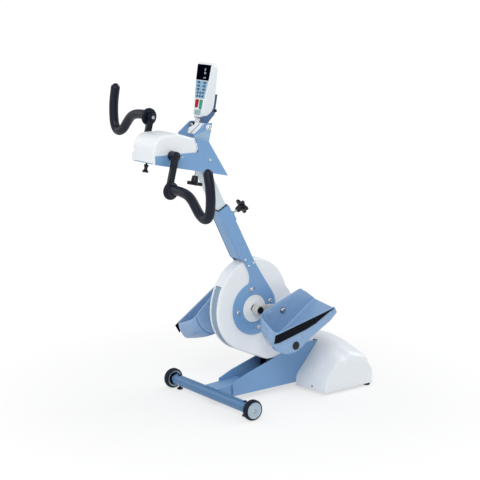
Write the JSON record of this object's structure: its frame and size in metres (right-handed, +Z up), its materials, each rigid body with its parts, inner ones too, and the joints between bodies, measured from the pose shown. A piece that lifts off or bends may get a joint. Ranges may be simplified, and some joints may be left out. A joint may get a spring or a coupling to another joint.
{
  "type": "active passive trainer",
  "caption": "Motor-assisted arm and leg cycling trainer for a seated user, with foot shells, bent hand grips, a tilting telescopic mast and a handset.",
  "frame": {"origin": "on the floor under the leg axle, midway along the machine", "axes": "+Z up; +X to the seated user's right; -Y towards the user, +Y towards the rear housing"},
  "size_m": [0.6564, 0.8605, 1.1622],
  "materials": {
    "frame_paint": "satin light blue powder coat",
    "shell_plastic": "gloss blue moulding",
    "white_plastic": "satin white moulding",
    "cradle_plastic": "satin white and blue moulding",
    "grey_band": "grey blue band",
    "inner_tube": "satin anodised",
    "steel": "machined",
    "crank_metal": "satin",
    "black_plastic": "satin black",
    "crank_black": "satin black",
    "grip_rubber": "soft black sleeve",
    "strap": "black band",
    "belt_rubber": "matte",
    "tyre": "matte",
    "wheel_hub": "grey disc",
    "board": "circuit board",
    "lens": "black window",
    "keypad": "blue membrane",
    "red_plastic": "red key",
    "green_plastic": "green key"
  },
  "bodies": {
    "base": {"base_frame": "frame_paint", "front_beam": "frame_paint", "crossbar": "frame_paint", "right_levelling_foot": "black_plastic", "left_levelling_foot": "black_plastic", "axle_uprights": "steel", "right_bearing": "steel", "left_bearing": "steel", "drum_cover_right": "white_plastic", "drum_cover_left": "white_plastic", "rim_band": "grey_band", "drive_motor": "crank_black", "drive_belt": "belt_rubber", "control_board": "board", "rear_housing": "white_plastic", "power_inlet": "black_plastic", "right_rear_foot": "black_plastic", "left_rear_foot": "black_plastic"},
    "rocker": {"rocker_switch": "red_plastic"},
    "right_wheel": {"right_tyre": "tyre", "right_wheel_hub": "wheel_hub"},
    "left_wheel": {"left_tyre": "tyre", "left_wheel_hub": "wheel_hub"},
    "leg_crank": {"leg_axle": "steel", "drive_pulley": "crank_metal", "right_leg_crank": "crank_metal", "left_leg_crank": "crank_metal"},
    "drive_rotor": {"motor_pulley": "steel"},
    "right_foot": {"right_foot_shell": "shell_plastic", "right_pedal_spindle": "steel", "right_foot_strap": "strap"},
    "left_foot": {"left_foot_shell": "shell_plastic", "left_pedal_spindle": "steel", "left_foot_strap": "strap"},
    "mast": {"mast_outer": "frame_paint", "right_mast_yoke": "frame_paint", "left_mast_yoke": "frame_paint", "mast_bush": "black_plastic"},
    "height_clamp": {"height_knob": "black_plastic"},
    "mast_slide": {"mast_inner": "inner_tube"},
    "arm_unit": {"arm_bracket": "frame_paint", "arm_casing": "white_plastic", "arm_motor": "crank_black", "arm_belt": "belt_rubber", "pivot_bolt": "steel"},
    "tilt_clamp": {"tilt_knob": "black_plastic"},
    "plunger": {"lock_plunger": "black_plastic"},
    "arm_crank": {"arm_axle": "steel", "right_arm_crank": "crank_black", "left_arm_crank": "crank_black"},
    "arm_rotor": {"arm_motor_pulley": "steel"},
    "right_grip": {"right_handle": "grip_rubber"},
    "left_grip": {"left_handle": "grip_rubber"},
    "handset": {"cradle": "cradle_plastic", "handset_body": "white_plastic", "display_lens": "lens", "keypad": "keypad"},
    "red_key": {"red_button": "red_plastic"},
    "green_key": {"green_button": "green_plastic"}
  },
  "joints": [
    {"name": "leg_crank_spin", "type": "hinge", "parent": "base", "child": "leg_crank", "pos_m": [0, 0, 0.315], "axis": [1, 0, 0], "continuous": true},
    {"name": "drive_rotor_spin", "type": "hinge", "parent": "base", "child": "drive_rotor", "pos_m": [0, 0.268, 0.085], "axis": [1, 0, 0], "continuous": true},
    {"name": "right_pedal_swivel", "type": "hinge", "parent": "leg_crank", "child": "right_foot", "pos_m": [0.098, 0.06598, 0.31327], "axis": [1, 0, 0], "continuous": true},
    {"name": "left_pedal_swivel", "type": "hinge", "parent": "leg_crank", "child": "left_foot", "pos_m": [-0.098, -0.06598, 0.31673], "axis": [1, 0, 0], "continuous": true},
    {"name": "right_wheel_spin", "type": "hinge", "parent": "base", "child": "right_wheel", "pos_m": [0.228, -0.162, 0.035], "axis": [1, 0, 0], "continuous": true},
    {"name": "left_wheel_spin", "type": "hinge", "parent": "base", "child": "left_wheel", "pos_m": [-0.228, -0.162, 0.035], "axis": [1, 0, 0], "continuous": true},
    {"name": "mast_tilt", "type": "hinge", "parent": "base", "child": "mast", "pos_m": [0, 0, 0.315], "axis": [1, 0, 0], "range_deg": [-8, 8]},
    {"name": "height_knob_turn", "type": "hinge", "parent": "mast", "child": "height_clamp", "pos_m": [0, -0.06699, 0.65197], "axis": [0, 0.8878, 0.4602], "continuous": true},
    {"name": "mast_height", "type": "slide", "parent": "mast", "child": "mast_slide", "axis": [0, -0.4602, 0.8878], "range_m": [-0.07, 0.055]},
    {"name": "arm_unit_tilt", "type": "hinge", "parent": "mast_slide", "child": "arm_unit", "pos_m": [0, -0.21135, 0.85311], "axis": [1, 0, 0], "range_deg": [-15, 10]},
    {"name": "tilt_knob_turn", "type": "hinge", "parent": "arm_unit", "child": "tilt_clamp", "pos_m": [0.036, -0.24655, 0.81923], "axis": [0, -0.2067, -0.9784], "continuous": true},
    {"name": "lock_plunger_slide", "type": "slide", "parent": "arm_unit", "child": "plunger", "axis": [0, -0.2067, -0.9784], "range_m": [0, 0.006], "stiffness_N_per_m": 300, "springref_m": -0.003},
    {"name": "arm_crank_spin", "type": "hinge", "parent": "arm_unit", "child": "arm_crank", "pos_m": [0, -0.36505, 0.88001], "axis": [1, 0, 0], "continuous": true},
    {"name": "arm_rotor_spin", "type": "hinge", "parent": "arm_unit", "child": "arm_rotor", "pos_m": [0, -0.29805, 0.88001], "axis": [1, 0, 0], "continuous": true},
    {"name": "right_handle_swivel", "type": "hinge", "parent": "arm_crank", "child": "right_grip", "pos_m": [0.104, -0.39166, 0.77327], "axis": [1, 0, 0], "continuous": true},
    {"name": "left_handle_swivel", "type": "hinge", "parent": "arm_crank", "child": "left_grip", "pos_m": [-0.104, -0.33843, 0.98674], "axis": [1, 0, 0], "continuous": true},
    {"name": "handset_tilt", "type": "hinge", "parent": "arm_unit", "child": "handset", "pos_m": [0, -0.20505, 0.95501], "axis": [1, 0, 0], "range_deg": [-20, 20]},
    {"name": "red_key_press", "type": "slide", "parent": "handset", "child": "red_key", "axis": [0, 0.9816, -0.1908], "range_m": [0, 0.0012], "stiffness_N_per_m": 400, "springref_m": -0.001},
    {"name": "green_key_press", "type": "slide", "parent": "handset", "child": "green_key", "axis": [0, 0.9816, -0.1908], "range_m": [0, 0.0012], "stiffness_N_per_m": 400, "springref_m": -0.001},
    {"name": "rocker_tip", "type": "hinge", "parent": "base", "child": "rocker", "pos_m": [-0.098, 0.4235, 0.044], "axis": [1, 0, 0], "range_deg": [0, 10]}
  ],
  "couplings": [
    {"joint": "drive_rotor_spin", "follows": "leg_crank_spin", "ratio": 4.7222},
    {"joint": "right_pedal_swivel", "follows": "leg_crank_spin", "ratio": -1},
    {"joint": "left_pedal_swivel", "follows": "leg_crank_spin", "ratio": -1},
    {"joint": "arm_rotor_spin", "follows": "arm_crank_spin", "ratio": 2.8889},
    {"joint": "right_handle_swivel", "follows": "arm_crank_spin", "ratio": -1},
    {"joint": "left_handle_swivel", "follows": "arm_crank_spin", "ratio": -1}
  ]
}
